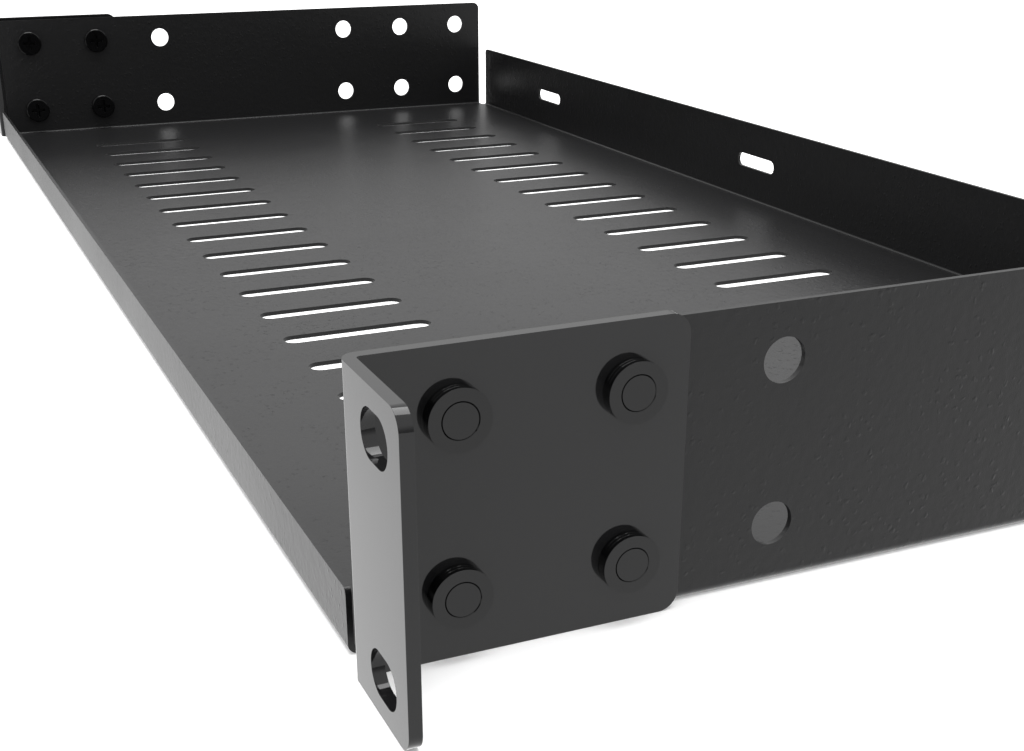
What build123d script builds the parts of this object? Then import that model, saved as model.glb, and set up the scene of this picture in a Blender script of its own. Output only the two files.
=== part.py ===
from build123d import *
import os

# A vented rack shelf, one unit high, for a 19 inch rack. X runs across the rack, Y runs from the
# front to the back and Z is up. The origin is on the underside, at the middle of the width and depth.

# Sheet metal
sheet = 0.9  # tray
ear_sheet = 1.8  # ears
bend_inner = 0.6  # inside radius of every bend

# Tray
tray_width = 439.0
tray_depth = 203.0
wall_height = 43.0
rear_height = 24.0
lip_height = 10.0
corner_gap = 4.5  # from a side wall's outer face to the end of the lip and of the rear wall
wall_relief = 2.5  # from the lip's face, and from the rear face, to the end of a side wall
wall_corner = 2.5
rear_corner = 1.5
lip_corner = 1.0

# Vent slots in the floor
slot_length = 34.8
slot_width = 5.4
slot_pitch = 20.0
slot_count = 19
slot_inset = 28.6  # from the lip's face, and from the rear face, to the near ends of the slots

# Tie slots in the rear wall
tie_length = 20.0
tie_height = 4.0
tie_pitch = 150.0
tie_count = 3
tie_level = 12.5

# Holes in the side walls
hole_diameter = 6.8
hole_pitch = 25.0
hole_columns = 3
hole_inset = 11.0  # from the end of a side wall to the middle of its first holes

# Ears
ear_height = 44.0
flange_width = 21.8  # from a side wall's outer face, so the ears span 482.6
flange_proud = 0.9  # the flange stands in front of the lip by this much
flange_corner = 3.0
leg_margin = 8.6  # from the middle of the rear nuts to the leg's rear edge
leg_corner = 3.0
rack_hole_inset = 8.75  # from the flange's outer edge, so the holes are 465.1 apart across the rack
rack_hole_rise = 31.75
rack_hole_length = 9.5
rack_hole_height = 6.5

# Screws and nuts
screw_diameter = 4.9
head_diameter = 8.6
head_height = 1.9
head_edge = 0.3
recess_length = 4.8
recess_width = 1.1
recess_depth = 1.3
recess_taper = 12.0
spigot_diameter = 6.8
nut_diameter = 8.7
nut_height = 2.0

# Places worked out from the sizes above
tray_middle = flange_proud / 2
lip_face = tray_middle - tray_depth / 2
rear_face = tray_middle + tray_depth / 2
flange_face = lip_face - flange_proud
wall_outer = tray_width / 2
wall_inner = wall_outer - sheet
wall_length = tray_depth - 2 * wall_relief
cross_width = tray_width - 2 * corner_gap
slot_row_spacing = tray_depth - 2 * slot_inset - slot_length
ear_middle = ear_height / 2
front_column = lip_face + wall_relief + hole_inset
rear_column = rear_face - wall_relief - hole_inset
hole_group = hole_pitch * (hole_columns - 1)
fastener_columns = {"front": front_column, "rear": front_column + hole_pitch}
leg_end = fastener_columns["rear"] + leg_margin
flange_edge = wall_outer + flange_width
fastener_rows = {"top": ear_middle + hole_pitch / 2, "bottom": ear_middle - hole_pitch / 2}
sides = {"left": -1, "right": 1}

os.makedirs("parts", exist_ok=True)


# Tray: one sheet, its side walls, lip and rear wall folded up from the floor
with BuildPart() as tray:
    # Floor with both side walls
    with BuildSketch(Plane.XZ.offset(-tray_middle)):
        with BuildLine():
            side_fold = FilletPolyline(
                (-wall_outer, wall_height),
                (-wall_outer, 0),
                (wall_outer, 0),
                (wall_outer, wall_height),
                radius=bend_inner + sheet,
            )
            offset(side_fold, amount=sheet, side=Side.LEFT)
        make_face()
    extrude(amount=wall_length / 2, both=True)
    wall_ends = tray.edges().filter_by(Axis.X).group_by(Axis.Z)[-1]
    fillet(wall_ends, radius=wall_corner)

    # Floor with the lip and the rear wall
    with BuildSketch(Plane.YZ) as cross_section:
        with BuildLine():
            cross_fold = FilletPolyline(
                (lip_face, lip_height),
                (lip_face, 0),
                (rear_face, 0),
                (rear_face, rear_height),
                radius=bend_inner + sheet,
            )
            offset(cross_fold, amount=sheet, side=Side.LEFT)
        make_face()
    extrude(amount=cross_width / 2, both=True)
    rear_ends = tray.edges().filter_by(Axis.Y).group_by(Axis.Y)[-1].group_by(Axis.Z)[-1]
    fillet(rear_ends, radius=rear_corner)
    lip_ends = tray.edges().filter_by(Axis.Y).group_by(Axis.Y)[0].group_by(Axis.Z)[-1]
    fillet(lip_ends, radius=lip_corner)

    # Two rows of vent slots
    with BuildSketch(Plane.XY):
        with Locations((0, tray_middle)):
            with GridLocations(slot_pitch, slot_row_spacing, slot_count, 2):
                SlotOverall(slot_length, slot_width, rotation=90)
    extrude(amount=sheet, mode=Mode.SUBTRACT)

    # Tie slots in the rear wall
    with BuildSketch(Plane.XZ.offset(-rear_face)):
        with Locations((0, tie_level)):
            with GridLocations(tie_pitch, 0, tie_count, 1):
                SlotOverall(tie_length, tie_height)
    extrude(amount=sheet, mode=Mode.SUBTRACT)

    # Pairs of holes in the side walls, in a front and a rear group
    with BuildSketch(Plane.YZ):
        with Locations(
            (front_column + hole_group / 2, ear_middle),
            (rear_column - hole_group / 2, ear_middle),
        ):
            with GridLocations(hole_pitch, hole_pitch, hole_columns, 2):
                Circle(hole_diameter / 2)
    extrude(amount=wall_outer, both=True, mode=Mode.SUBTRACT)

tray.part.label = "tray"
export_step(tray.part, "parts/tray.step")


# Right ear: a leg on the side wall and a flange that faces the rack
with BuildPart() as right_ear:
    with BuildSketch(Plane.XY):
        with BuildLine():
            ear_fold = FilletPolyline(
                (wall_outer, leg_end),
                (wall_outer, flange_face),
                (flange_edge, flange_face),
                radius=bend_inner + ear_sheet,
            )
            offset(ear_fold, amount=ear_sheet, side=Side.LEFT)
        make_face()
    extrude(amount=ear_height)
    fillet(right_ear.edges().filter_by(Axis.X).group_by(Axis.Y)[-1], radius=leg_corner)
    fillet(right_ear.edges().filter_by(Axis.Y).group_by(Axis.X)[-1], radius=flange_corner)

    # Holes for the nuts' spigots
    with BuildSketch(Plane.YZ.offset(wall_outer)):
        with Locations(*[(y, z) for y in fastener_columns.values() for z in fastener_rows.values()]):
            Circle(spigot_diameter / 2)
    extrude(amount=ear_sheet, mode=Mode.SUBTRACT)

    # Obround holes for the rack's screws
    with BuildSketch(Plane.XZ.offset(-flange_face)):
        with Locations((flange_edge - rack_hole_inset, ear_middle)):
            with GridLocations(0, rack_hole_rise, 1, 2):
                SlotOverall(rack_hole_length, rack_hole_height)
    extrude(amount=-ear_sheet, mode=Mode.SUBTRACT)

right_ear.part.label = "right_ear"
export_step(right_ear.part, "parts/right_ear.step")


# Left ear: the right one mirrored
with BuildPart() as left_ear:
    mirror(right_ear.part, about=Plane.YZ)

left_ear.part.label = "left_ear"
export_step(left_ear.part, "parts/left_ear.step")


# Screws from inside the tray, each with its own round nut pressed into the ear
for side, outward in sides.items():
    for column, y in fastener_columns.items():
        for row, z in fastener_rows.items():
            place = f"{side}_{column}_{row}"

            # The screw's head seats on the wall's inner face and its end is flush with the nut
            head_seat = Plane(
                origin=(outward * wall_inner, y, z), x_dir=(outward, 0, 0), z_dir=(0, -outward, 0)
            )
            screw_end = sheet + ear_sheet + nut_height
            with BuildPart() as screw:
                with BuildSketch(head_seat):
                    with BuildLine():
                        Polyline(
                            (-head_height, 0),
                            (-head_height, head_diameter / 2 - head_edge),
                            (head_edge - head_height, head_diameter / 2),
                            (0, head_diameter / 2),
                            (0, screw_diameter / 2),
                            (screw_end, screw_diameter / 2),
                            (screw_end, 0),
                            (-head_height, 0),
                        )
                    make_face()
                revolve(axis=Axis((0, y, z), (outward, 0, 0)))
                head_top = Plane(
                    origin=(outward * (wall_inner - head_height), y, z),
                    x_dir=(0, 1, 0),
                    z_dir=(outward, 0, 0),
                )
                with BuildSketch(head_top):
                    Rectangle(recess_length, recess_width)
                    Rectangle(recess_width, recess_length)
                extrude(amount=recess_depth, taper=recess_taper, mode=Mode.SUBTRACT)
            screw.part.label = f"screw_{place}"
            export_step(screw.part, f"parts/screw_{place}.step")

            # The nut's spigot fills the ear's hole and its round body stands on the ear
            nut_seat = Plane(
                origin=(outward * wall_outer, y, z), x_dir=(outward, 0, 0), z_dir=(0, -outward, 0)
            )
            nut_top = ear_sheet + nut_height
            nut_radius = nut_diameter / 2
            nut_bore = screw_diameter / 2
            with BuildPart() as nut:
                with BuildSketch(nut_seat):
                    with BuildLine():
                        Polyline(
                            (0, nut_bore),
                            (0, spigot_diameter / 2),
                            (ear_sheet, spigot_diameter / 2),
                            (ear_sheet, nut_radius),
                            (nut_top, nut_radius),
                            (nut_top, nut_bore),
                            (0, nut_bore),
                        )
                    make_face()
                revolve(axis=Axis((0, y, z), (outward, 0, 0)))
            nut.part.label = f"nut_{place}"
            export_step(nut.part, f"parts/nut_{place}.step")
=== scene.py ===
import bpy
import bmesh
import math
from mathutils import Matrix, Vector


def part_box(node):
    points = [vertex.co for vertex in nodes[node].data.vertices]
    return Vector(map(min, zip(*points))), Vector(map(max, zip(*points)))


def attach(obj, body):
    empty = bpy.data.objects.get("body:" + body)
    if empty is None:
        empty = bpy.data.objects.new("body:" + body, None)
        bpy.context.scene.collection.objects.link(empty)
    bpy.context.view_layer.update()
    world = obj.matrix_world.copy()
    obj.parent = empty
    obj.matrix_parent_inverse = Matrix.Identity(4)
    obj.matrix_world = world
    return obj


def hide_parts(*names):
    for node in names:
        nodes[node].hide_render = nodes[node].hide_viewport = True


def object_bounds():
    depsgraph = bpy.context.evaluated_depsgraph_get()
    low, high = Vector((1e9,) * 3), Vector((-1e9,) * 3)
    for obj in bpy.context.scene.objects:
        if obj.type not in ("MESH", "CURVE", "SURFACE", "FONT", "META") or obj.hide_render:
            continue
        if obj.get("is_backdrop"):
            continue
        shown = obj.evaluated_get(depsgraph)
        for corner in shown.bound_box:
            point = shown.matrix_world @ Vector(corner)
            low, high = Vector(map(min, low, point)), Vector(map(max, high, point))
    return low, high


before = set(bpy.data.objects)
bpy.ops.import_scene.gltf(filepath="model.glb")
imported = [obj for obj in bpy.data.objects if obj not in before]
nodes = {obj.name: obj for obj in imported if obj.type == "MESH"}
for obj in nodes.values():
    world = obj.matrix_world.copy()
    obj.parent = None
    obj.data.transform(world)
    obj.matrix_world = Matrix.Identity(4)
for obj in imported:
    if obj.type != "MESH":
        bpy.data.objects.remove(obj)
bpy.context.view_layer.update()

scene = bpy.context.scene
print("frame loaded,", len(nodes), "nodes")


class Wire:
    # a shader socket that takes part in expressions, and adds any node to its tree
    def __init__(self, tree, socket=None):
        self.tree = tree
        self.socket = socket

    def feed(self, target, value):
        if isinstance(value, Wire):
            self.tree.links.new(value.socket, target)
        else:
            target.default_value = value

    def node(self, kind, settings=None, inputs=None, output=0):
        made = self.tree.nodes.new(kind)
        for key, value in (settings or {}).items():
            if key == "stops":
                ramp = made.color_ramp
                while len(ramp.elements) < len(value):
                    ramp.elements.new(0.5)
                for element, (position, colour) in zip(ramp.elements, value):
                    element.position = position
                    element.color = colour
            else:
                setattr(made, key, value)
        for key, value in (inputs or {}).items():
            self.feed(made.inputs[key], value)
        return Wire(self.tree, made.outputs[output] if made.outputs else None)

    def beside(self, output):
        return Wire(self.tree, self.socket.node.outputs[output])

    def maths(self, operation, first, second):
        return self.node("ShaderNodeMath", {"operation": operation}, {0: first, 1: second})

    def __add__(self, other):
        return self.maths("ADD", self, other)

    def __radd__(self, other):
        return self.maths("ADD", other, self)

    def __sub__(self, other):
        return self.maths("SUBTRACT", self, other)

    def __rsub__(self, other):
        return self.maths("SUBTRACT", other, self)

    def __mul__(self, other):
        return self.maths("MULTIPLY", self, other)

    def __rmul__(self, other):
        return self.maths("MULTIPLY", other, self)


def newMaterial(name):
    material = bpy.data.materials.new(name)
    material.use_nodes = True
    material.node_tree.nodes.clear()
    return material, Wire(material.node_tree)


black = (0, 0, 0, 1)
white = (1, 1, 1, 1)

# Powder coat: near black, a fine orange peel under finer grain, ragged specks in loose clusters, and
# gloss that drifts a little. Scales are in features per metre and heights in metres.
trayFinish = {
    "colourLow": (0.0046, 0.0046, 0.0048, 1),
    "colourHigh": (0.0078, 0.0078, 0.0082, 1),
    "roughness": 0.335,
    "roughnessDrift": 0.06,
    "driftScale": 14.0,
    "peelScale": 620.0,
    "peelHeight": 0.000060,
    "speckScale": 620.0,
    "speckReach": 0.30,
    "speckShare": 1.1,
    "speckWarp": 0.0011,  # how far a speck's outline is pulled about, in metres
    "warpScale": 900.0,
    "clusterScale": 75.0,
    "clusterLow": 0.32,  # no specks where the cluster noise is under this
    "clusterHigh": 0.54,  # and full specks where it is over this
    "grainScale": 4200.0,
    "grainShare": 0.35,
    "ior": 1.32,
}
earFinish = dict(
    trayFinish,
    roughness=0.07,
    roughnessDrift=0.015,
    peelHeight=0.0000010,
    grainShare=0.5,
    speckShare=0.3,
    ior=1.36,
)
nutFinish = dict(
    trayFinish,
    colourLow=(0.0008, 0.0008, 0.0009, 1),
    colourHigh=(0.0020, 0.0020, 0.0022, 1),
    roughness=0.08,
    roughnessDrift=0.015,
    peelHeight=0.0000010,
    speckShare=0.0,
    ior=1.36,
)
headFinish = dict(nutFinish, roughness=0.14, roughnessDrift=0.02, ior=1.24)


def coatNoise(wire, place, scale, detail, roughness, output="Fac"):
    return wire.node(
        "ShaderNodeTexNoise", {"noise_dimensions": "3D"},
        {"Vector": place, "Scale": scale, "Detail": detail, "Roughness": roughness}, output)


def coatSpecks(wire, place, finish):
    # round cells pulled out of shape, and kept only inside the clusters
    pull = coatNoise(wire, place, finish["warpScale"], 1.0, 0.5, "Color")
    warped = wire.node(
        "ShaderNodeVectorMath", {"operation": "MULTIPLY_ADD"},
        {0: pull, 1: (finish["speckWarp"],) * 3, 2: place}, "Vector")
    near = wire.node(
        "ShaderNodeTexVoronoi", None, {"Vector": warped, "Scale": finish["speckScale"]}, "Distance")
    speck = wire.node(
        "ShaderNodeValToRGB", {"stops": [(0.0, white), (finish["speckReach"], black)]}, {0: near})
    patch = coatNoise(wire, place, finish["clusterScale"], 1.0, 0.5)
    cluster = wire.node(
        "ShaderNodeValToRGB",
        {"stops": [(finish["clusterLow"], black), (finish["clusterHigh"], white)]}, {0: patch})
    return speck * cluster


def coatMaterial(name, finish):
    material, wire = newMaterial(name)
    place = wire.node("ShaderNodeTexCoord", output="Object")
    drift = coatNoise(wire, place, finish["driftScale"], 3.0, 0.55)
    peel = coatNoise(wire, place, finish["peelScale"], 1.5, 0.4)
    grain = coatNoise(wire, place, finish["grainScale"], 2.0, 0.6)
    specks = coatSpecks(wire, place, finish)
    height = peel + grain * finish["grainShare"] + specks * finish["speckShare"]
    bump = wire.node(
        "ShaderNodeBump", None,
        {"Strength": 1.0, "Distance": finish["peelHeight"], "Height": height}, "Normal")
    colour = wire.node(
        "ShaderNodeMix", {"data_type": "RGBA"},
        {0: grain * 0.5 + drift * 0.5, 6: finish["colourLow"], 7: finish["colourHigh"]}, 2)
    roughness = (drift - 0.5) * (finish["roughnessDrift"] * 2) + finish["roughness"]
    shader = wire.node(
        "ShaderNodeBsdfPrincipled", None,
        {"Base Color": colour, "Roughness": roughness, "IOR": finish["ior"], "Normal": bump}, "BSDF")
    wire.node("ShaderNodeOutputMaterial", None, {"Surface": shader})
    return material


trayCoat = coatMaterial("trayCoat", trayFinish)
earCoat = coatMaterial("earCoat", earFinish)
nutCoat = coatMaterial("nutCoat", nutFinish)
headCoat = coatMaterial("headCoat", headFinish)
print("coats made")


# Folded sheets and screws: a copy of each CAD solid with its cut edges rounded as the coat leaves them
softEdges = {
    "tray": 0.00009,
    "ear": 0.00008,
    "screw": 0.00008,
    "nut": 0.00009,
    "segments": 2,
    "angle": 28.0,  # an edge sharper than this is rounded
    "flat": 0.001,  # radians, under which two faces are one flat patch
    "merge": 0.000002,  # metres, under which two corners are one
}


def roundEdges(bm, width):
    sharp = [
        edge for edge in bm.edges
        if len(edge.link_faces) == 2 and edge.calc_face_angle(0) > math.radians(softEdges["angle"])
    ]
    bmesh.ops.bevel(
        bm, geom=sharp, offset=width, offset_type="OFFSET", segments=softEdges["segments"],
        profile=0.5, affect="EDGES", clamp_overlap=True, material=-1)


def flatAreas(bm):
    # the area of the flat patch that each face belongs to
    areas = {}
    for start in bm.faces:
        if start in areas:
            continue
        patch = {start}
        waiting = [start]
        while waiting:
            for edge in waiting.pop().edges:
                if edge.calc_face_angle(1) < softEdges["flat"]:
                    found = [face for face in edge.link_faces if face not in patch]
                    patch.update(found)
                    waiting += found
        total = sum(face.calc_area() for face in patch)
        areas.update((face, total) for face in patch)
    return areas


squareMillimetres = 1e6  # in a square metre


def finishPiece(name, bm, material, replaced):
    # normals follow the widest patch at each corner, so flats stay flat and rounds run into them
    areas = flatAreas(bm)
    normals = []
    for vert in bm.verts:
        total = Vector((0, 0, 0))
        for face in vert.link_faces:
            total += face.normal * (areas[face] * squareMillimetres) ** 2
        normals.append(total.normalized())
    mesh = bpy.data.meshes.new(name)
    for face in bm.faces:
        face.smooth = True
    bm.to_mesh(mesh)
    bm.free()
    mesh.normals_split_custom_set_from_vertices(normals)
    piece = bpy.data.objects.new(name, mesh)
    scene.collection.objects.link(piece)
    mesh.materials.append(material)
    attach(piece, "root")
    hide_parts(replaced)
    return piece


def roundedCopy(nodeName, width):
    bm = bmesh.new()
    bm.from_mesh(nodes[nodeName].data)
    bmesh.ops.remove_doubles(bm, verts=bm.verts, dist=softEdges["merge"])
    roundEdges(bm, width)
    return bm


finishPiece("traySheet", roundedCopy("tray", softEdges["tray"]), trayCoat, "tray")
for side in ("left", "right"):
    finishPiece(
        side + "EarSheet", roundedCopy(side + "_ear", softEdges["ear"]), earCoat,
        side + "_ear")
print("sheets made")


# Fasteners: the screws keep their CAD heads, and each nut is a turned ring with fine grooves
nutSize = {
    "bore": 0.00245,
    "spigot": 0.0034,
    "radius": 0.00435,
    "seat": 0.0018,  # the ear's sheet
    "height": 0.0020,
    "lead": 0.00018,
    "grooves": (0.00070, 0.00130),  # above the seat
    "grooveHalf": 0.00005,
    "grooveFlat": 0.00003,  # half the width of a groove's bottom
    "grooveDepth": 0.00002,
    "merge": 0.0000005,
    "steps": 64,
}


def turnedNut(wallFace, y, z, outward):
    size = nutSize
    top = size["seat"] + size["height"]
    outline = [
        (0.0, size["bore"]),
        (0.0, size["spigot"]),
        (size["seat"], size["spigot"]),
        (size["seat"], size["radius"]),
    ]
    for rise in size["grooves"]:
        middle = size["seat"] + rise
        outline += [
            (middle - size["grooveHalf"], size["radius"]),
            (middle - size["grooveFlat"], size["radius"] - size["grooveDepth"]),
            (middle + size["grooveFlat"], size["radius"] - size["grooveDepth"]),
            (middle + size["grooveHalf"], size["radius"]),
        ]
    outline += [
        (top, size["radius"]),
        (top, size["bore"] + size["lead"]),
        (top - size["lead"], size["bore"]),
    ]
    bm = bmesh.new()
    ring = [bm.verts.new((along, 0.0, radius)) for along, radius in outline]
    for first, second in zip(ring, ring[1:] + ring[:1]):
        bm.edges.new((first, second))
    bmesh.ops.spin(
        bm, geom=bm.verts[:] + bm.edges[:], cent=(0, 0, 0), axis=(1, 0, 0), dvec=(0, 0, 0),
        angle=math.tau, steps=size["steps"], use_merge=True, use_duplicate=False)
    bmesh.ops.remove_doubles(bm, verts=bm.verts, dist=size["merge"])
    bmesh.ops.recalc_face_normals(bm, faces=bm.faces)
    roundEdges(bm, softEdges["nut"])
    if outward < 0:
        bmesh.ops.rotate(bm, verts=bm.verts, cent=(0, 0, 0), matrix=Matrix.Rotation(math.pi, 3, "Z"))
    bmesh.ops.translate(bm, verts=bm.verts, vec=(wallFace, y, z))
    return bm


for nodeName in sorted(nodes):
    if nodeName.startswith("screw_"):
        screw = finishPiece(
            nodeName.replace("screw_", "") + "_screw", roundedCopy(nodeName, softEdges["screw"]),
            headCoat, nodeName)
        # the shank's end, flush in its nut, is as bright as the nut
        screw.data.materials.append(nutCoat)
        low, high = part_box(nodeName)
        shankEnd = max(abs(low[0]), abs(high[0]))
        for face in screw.data.polygons:
            face.material_index = int(abs(face.center.x) > shankEnd - nutSize["height"] / 2)
    if nodeName.startswith("nut_"):
        low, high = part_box(nodeName)
        outward = 1 if high[0] > 0 else -1
        wallFace = low[0] if outward > 0 else high[0]
        finishPiece(
            nodeName.replace("nut_", "") + "_nut",
            turnedNut(wallFace, (low[1] + high[1]) / 2, (low[2] + high[2]) / 2, outward),
            nutCoat, nodeName)
print("fasteners made")


# Stage: a plain white floor that keeps a soft shadow, and that glows brighter than white in the coats'
# reflections, with a painted shadow that dims that reflected glow towards the left, near the tray
stageLook = {
    "size": 12.0,
    "floorLevel": -0.00005,
    "floorColour": (0.80, 0.80, 0.80, 1),
    "cameraGlow": 0.15,  # keeps the floor white under the soft shadow
    "mirroredWhite": 1.70,  # how bright the floor is in the coats' reflections
    "mirroredSpan": (-0.25, 0.17),  # metres across, over which a painted shadow dims that reflected glow to the left
    # how much of the reflected glow is left under the painted shadow, at the two ends of that span
    "mirroredShare": (0.60, 1.0),
    "skyStops": [  # from the horizon, at 0, to straight up, at 1
        (0.0, (0.38, 0.38, 0.38, 1)),
        (0.12, (0.48, 0.48, 0.48, 1)),
        (0.25, (0.85, 0.85, 0.85, 1)),
        (0.45, (1.6, 1.6, 1.6, 1)),
    ],
}


def floorMaterial():
    material, wire = newMaterial("floorWhite")
    seen = wire.node("ShaderNodeLightPath", output="Is Camera Ray")
    reflected = wire.maths("MAXIMUM", seen.beside("Is Glossy Ray"), seen.beside("Is Transmission Ray"))
    diffuse = wire.node("ShaderNodeBsdfDiffuse", None, {"Color": stageLook["floorColour"]})
    glow = wire.node("ShaderNodeEmission", None, {"Strength": seen * stageLook["cameraGlow"]})
    lit = wire.node("ShaderNodeAddShader", None, {0: diffuse, 1: glow})
    # painted shadow in the reflections: the reflected glow is dimmed to the left, across the floor
    # near the tray
    spot = wire.node("ShaderNodeTexCoord", output="Object")
    across = wire.node("ShaderNodeSeparateXYZ", None, {0: spot}, "X")
    spanLow, spanHigh = stageLook["mirroredSpan"]
    shareLow, shareHigh = stageLook["mirroredShare"]
    paintedShadowFactor = wire.node(
        "ShaderNodeMapRange", {"clamp": True},
        {"Value": across, "From Min": spanLow, "From Max": spanHigh, "To Min": shareLow,
         "To Max": shareHigh}, "Result")
    mirrored = wire.node(
        "ShaderNodeEmission", None, {"Strength": paintedShadowFactor * stageLook["mirroredWhite"]})
    floorLook = wire.node("ShaderNodeMixShader", None, {0: reflected, 1: lit, 2: mirrored})
    wire.node("ShaderNodeOutputMaterial", None, {"Surface": floorLook})
    return material


bm = bmesh.new()
bmesh.ops.create_grid(bm, x_segments=2, y_segments=2, size=stageLook["size"] / 2)
bmesh.ops.translate(bm, verts=bm.verts, vec=(0, 0, stageLook["floorLevel"]))
floorMesh = bpy.data.meshes.new("studioFloor")
bm.to_mesh(floorMesh)
bm.free()
studioFloor = bpy.data.objects.new("studioFloor", floorMesh)
scene.collection.objects.link(studioFloor)
floorMesh.materials.append(floorMaterial())
studioFloor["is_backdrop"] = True

# White to the camera, and a little dimmer towards the horizon in reflections
world = bpy.data.worlds.new("studioWorld")
world.use_nodes = True
world.node_tree.nodes.clear()
sky = Wire(world.node_tree)
outlook = sky.node("ShaderNodeTexCoord", output="Generated")
rise = sky.node("ShaderNodeSeparateXYZ", None, {0: outlook}, "Z")
dome = sky.node("ShaderNodeValToRGB", {"stops": stageLook["skyStops"]}, {0: rise})
seenByCamera = sky.node("ShaderNodeLightPath", output="Is Camera Ray")
skyColour = sky.node(
    "ShaderNodeMix", {"data_type": "RGBA"}, {0: seenByCamera, 6: dome, 7: white}, 2)
sky.node(
    "ShaderNodeOutputWorld", None, {"Surface": sky.node("ShaderNodeBackground", None, {0: skyColour})})
scene.world = world

# Top lamp: a soft panel overhead, which the rounded edges mirror
topLamp = {
    "place": (0.0, 0.0, 1.35),
    "aim": (0.0, 0.0, 0.0),
    "size": 1.0,
    "power": 23.0,
}
lampData = bpy.data.lights.new("topLamp", "AREA")
lampData.shape = "SQUARE"
lampData.size = topLamp["size"]
lampData.energy = topLamp["power"]
lamp = bpy.data.objects.new("topLamp", lampData)
lamp.location = topLamp["place"]
lampAim = Vector(topLamp["aim"]) - Vector(topLamp["place"])
lamp.rotation_euler = lampAim.to_track_quat("-Z", "Y").to_euler()
scene.collection.objects.link(lamp)
lamp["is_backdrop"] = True


# Camera: matched to the photograph by its edges, holes and slots
cameraPlace = {
    "location": (0.37590, -0.14837, 0.09758),
    "turn": 66.157,  # degrees from straight back towards the left
    "down": 23.669,
    "roll": 0.002,
    "focal": 49.979,
    "sensor": 36.0,
    "shiftX": 0.00192,
    "shiftY": 0.10895,
    "nearest": 0.01,
    "farthest": 50.0,
}
turn, down, roll = (math.radians(cameraPlace[key]) for key in ("turn", "down", "roll"))
ahead = Vector((-math.sin(turn) * math.cos(down), math.cos(turn) * math.cos(down), -math.sin(down)))
right = Vector((math.cos(turn), math.sin(turn), 0))
up = right.cross(ahead)
rolledRight = right * math.cos(roll) + up * math.sin(roll)
rolledUp = up * math.cos(roll) - right * math.sin(roll)
cameraData = bpy.data.cameras.new("studioCamera")
cameraData.sensor_fit = "HORIZONTAL"
cameraData.sensor_width = cameraPlace["sensor"]
cameraData.lens = cameraPlace["focal"]
cameraData.shift_x = cameraPlace["shiftX"]
cameraData.shift_y = cameraPlace["shiftY"]
cameraData.clip_start = cameraPlace["nearest"]
cameraData.clip_end = cameraPlace["farthest"]
cameraData.dof.use_dof = False
camera = bpy.data.objects.new("studioCamera", cameraData)
camera.matrix_world = Matrix((rolledRight, rolledUp, -ahead)).transposed().to_4x4()
camera.location = cameraPlace["location"]
scene.collection.objects.link(camera)
scene.camera = camera

scene.view_settings.view_transform = "Standard"
print("stage, light and camera ready")

low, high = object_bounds()
